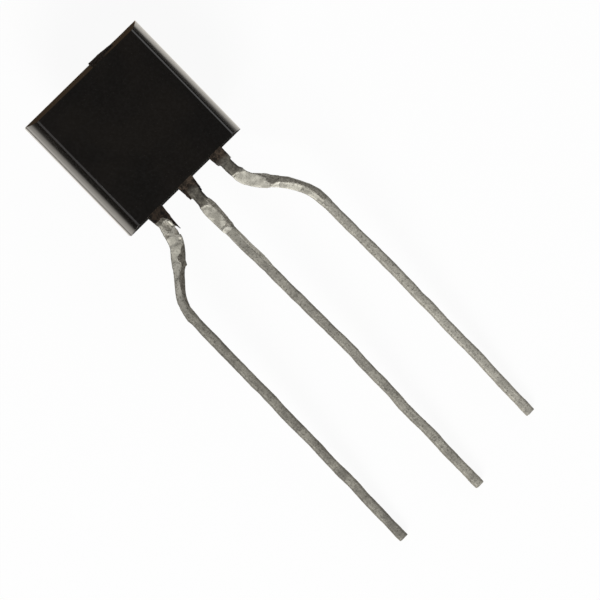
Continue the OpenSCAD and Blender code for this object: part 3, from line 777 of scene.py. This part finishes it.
# Where each part starts and ends to fade, along X or Y
WEST_FADE = (-6.5 * MM, -4.6 * MM)
EAST_FADE = (4.5 * MM, 6.1 * MM)
NEAR_FADE = (4.2 * MM, 4.5 * MM)
FAR_FADE = (8.9 * MM, 9.5 * MM)
LEAD_FADE = (2.8 * MM, 3.4 * MM)
LEAD_SIDES = (4.5 * MM, 6.0 * MM)
BROWN_FADE = (9.6 * MM, 10.0 * MM)
# Outside the body's own width, the bright part reaches this much further at both of its ends
BESIDE_FADE = (2.5 * MM, 2.9 * MM)
BESIDE_REACH = 1.5 * MM
wider = add(
    tree, "ShaderNodeMath", {"operation": "MULTIPLY_ADD"}, _0=along, _1=WIDENING, _2=-WIDENS_FROM * WIDENING,
).outputs[0]
westward = add(tree, "ShaderNodeMath", PLUS, _0=across, _1=wider).outputs[0]
west = add(
    tree, "ShaderNodeMapRange", SMOOTH, Value=westward, From_Min=WEST_FADE[0], From_Max=WEST_FADE[1],
    To_Min=DIM_GLOW, To_Max=BRIGHT_GLOW,
).outputs[0]
eastward = add(
    tree, "ShaderNodeMath", {"operation": "MULTIPLY_ADD"}, _0=wider, _1=-EAST_SHARE, _2=across,
).outputs[0]
east = add(
    tree, "ShaderNodeMapRange", SMOOTH, Value=eastward, From_Min=EAST_FADE[0], From_Max=EAST_FADE[1],
    To_Min=EAST_GLOW, To_Max=EAST_EDGE_GLOW,
).outputs[0]
off_middle = add(tree, "ShaderNodeMath", {"operation": "ABSOLUTE"}, _0=across).outputs[0]
beside = add(
    tree, "ShaderNodeMapRange", SMOOTH, Value=off_middle, From_Min=BESIDE_FADE[0], From_Max=BESIDE_FADE[1],
    To_Max=BESIDE_REACH,
).outputs[0]
lower = add(tree, "ShaderNodeMath", PLUS, _0=along, _1=beside).outputs[0]
near = add(
    tree, "ShaderNodeMapRange", SMOOTH, Value=lower, From_Min=NEAR_FADE[0], From_Max=NEAR_FADE[1],
).outputs[0]
upper = add(tree, "ShaderNodeMath", {"operation": "SUBTRACT"}, _0=along, _1=beside).outputs[0]
far = add(
    tree, "ShaderNodeMapRange", SMOOTH, Value=upper, From_Min=FAR_FADE[0], From_Max=FAR_FADE[1],
    To_Min=1.0, To_Max=0.0,
).outputs[0]
leads = add(
    tree, "ShaderNodeMapRange", SMOOTH, Value=along, From_Min=LEAD_FADE[0], From_Max=LEAD_FADE[1],
    To_Min=LEAD_GLOW, To_Max=DIM_GLOW,
).outputs[0]
under = add(
    tree, "ShaderNodeMapRange", SMOOTH, Value=off_middle, From_Min=LEAD_SIDES[0], From_Max=LEAD_SIDES[1],
    To_Min=1.0, To_Max=0.0,
).outputs[0]
leads = add(tree, "ShaderNodeMath", TIMES, _0=leads, _1=under).outputs[0]
# The painted pool of light that the gloss sees, with painted shadow round it
sides = add(tree, "ShaderNodeMath", LEAST, _0=west, _1=east).outputs[0]
ends = add(tree, "ShaderNodeMath", TIMES, _0=near, _1=far).outputs[0]
painted_pool = add(tree, "ShaderNodeMath", TIMES, _0=sides, _1=ends).outputs[0]
painted_pool = add(tree, "ShaderNodeMath", MOST, _0=painted_pool, _1=leads).outputs[0]
# A painted brown reflection for the gloss, beyond the body's far end
behind = add(
    tree, "ShaderNodeMapRange", SMOOTH, Value=along, From_Min=BROWN_FADE[0], From_Max=BROWN_FADE[1],
).outputs[0]
painted_brown = add(tree, "ShaderNodeMath", TIMES, _0=behind, _1=BROWN_GLOW).outputs[0]
painted_pool = add(tree, "ShaderNodeMath", MOST, _0=painted_pool, _1=painted_brown).outputs[0]
painted_pool = add(tree, "ShaderNodeMath", MOST, _0=painted_pool, _1=DIM_GLOW).outputs[0]
seen = add(tree, "ShaderNodeMath", MOST, _0=path.outputs["Is Camera Ray"], _1=painted_pool).outputs[0]
# The gloss sees the painted pool in warm white, with a painted brown reflection beyond the far end, and the camera
# sees a plain white card
tint = add(
    tree, "ShaderNodeMix", COLOURS, Factor=behind, _6=(1, 0.95, 0.87, 1), _7=(1, 0.68, 0.42, 1),
).outputs[2]
tint = add(
    tree, "ShaderNodeMix", COLOURS, Factor=path.outputs["Is Camera Ray"], _6=tint, _7=(1, 1, 1, 1),
).outputs[2]
glow = add(tree, "ShaderNodeEmission", Color=tint, Strength=seen)
mirrored = add(
    tree, "ShaderNodeMath", MOST, _0=path.outputs["Is Glossy Ray"], _1=path.outputs["Is Transmission Ray"],
).outputs[0]
# The camera sees this share of the glow, and the rest is the lit card, which keeps the part's soft shadow
GLOW_SHARE = 0.93
share = add(
    tree, "ShaderNodeMath", {"operation": "MULTIPLY_ADD", "use_clamp": True},
    _0=path.outputs["Is Camera Ray"], _1=GLOW_SHARE, _2=mirrored,
).outputs[0]
mixed = add(tree, "ShaderNodeMixShader", _0=share, _1=card.outputs[0], _2=glow.outputs[0])
add(tree, "ShaderNodeOutputMaterial", Surface=mixed.outputs[0])
floor.data.materials.append(made)

# World: dark overhead, grey studio walls round the horizon, paler on the collector side, and white to the camera
world = bpy.data.worlds.new("studio_walls")
bpy.context.scene.world = world
world.use_nodes = True
tree = world.node_tree
tree.nodes.clear()
way = add(tree, "ShaderNodeSeparateXYZ", Vector=add(tree, "ShaderNodeTexCoord").outputs["Generated"])
walls = add(
    tree, "ShaderNodeMapRange", SMOOTH, Value=way.outputs[0], From_Min=-0.7, From_Max=0.7, To_Min=0.33, To_Max=0.66,
).outputs[0]
height = add(
    tree, "ShaderNodeMapRange", SMOOTH, Value=way.outputs[2], From_Min=0.60, From_Max=0.88, To_Min=1.0, To_Max=0.05,
).outputs[0]
walls = add(tree, "ShaderNodeMath", TIMES, _0=walls, _1=height).outputs[0]
level = add(
    tree, "ShaderNodeMath", MOST, _0=walls, _1=add(tree, "ShaderNodeLightPath").outputs["Is Camera Ray"],
).outputs[0]
sky = add(tree, "ShaderNodeBackground", Color=(1, 1, 1, 1), Strength=level)
add(tree, "ShaderNodeOutputWorld", Surface=sky.outputs[0])


def lamp(name, azimuth, elevation, distance, size, radiance):
    """A square soft box aimed at the part. Azimuth is measured from +X towards +Y."""
    a, e = radians(azimuth), radians(elevation)
    way = Vector((cos(a) * cos(e), sin(a) * cos(e), sin(e)))
    data = bpy.data.lights.new(name, "AREA")
    data.shape = "SQUARE"
    data.size = size
    data.energy = radiance * pi * size * size
    box = bpy.data.objects.new(name, data)
    box.location = way * distance
    box.rotation_euler = way.to_track_quat("Z", "Y").to_euler()
    box.visible_camera = False
    bpy.context.scene.collection.objects.link(box)


lamp("key_soft_box", azimuth=225, elevation=40, distance=0.3, size=0.14, radiance=15)
lamp("fill_soft_box", azimuth=60, elevation=35, distance=0.4, size=0.2, radiance=0.8)

# Camera, in package millimetres: almost straight down on the flat face, turned so that the leads run down to the
# right, with a long lens far off
AIM = Vector((0.015, -4.946, 0.074))
BACK = Vector((-0.071308, 0.073857, 0.994717))
RIGHT = Vector((0.711173, -0.695535, 0.102626))
DISTANCE = 200
lens = bpy.data.cameras.new("camera")
lens.sensor_width = 36
lens.lens = 398.6
lens.clip_start = 0.01
lens.clip_end = 10
camera = bpy.data.objects.new("camera", lens)
turned = LAID.to_3x3() * (1 / MM) @ Matrix((RIGHT, BACK.cross(RIGHT), BACK)).transposed()
camera.matrix_world = Matrix.Translation(LAID @ (AIM + BACK * DISTANCE)) @ turned.to_4x4()
bpy.context.scene.collection.objects.link(camera)
bpy.context.scene.camera = camera

bpy.context.scene.view_settings.view_transform = "Standard"
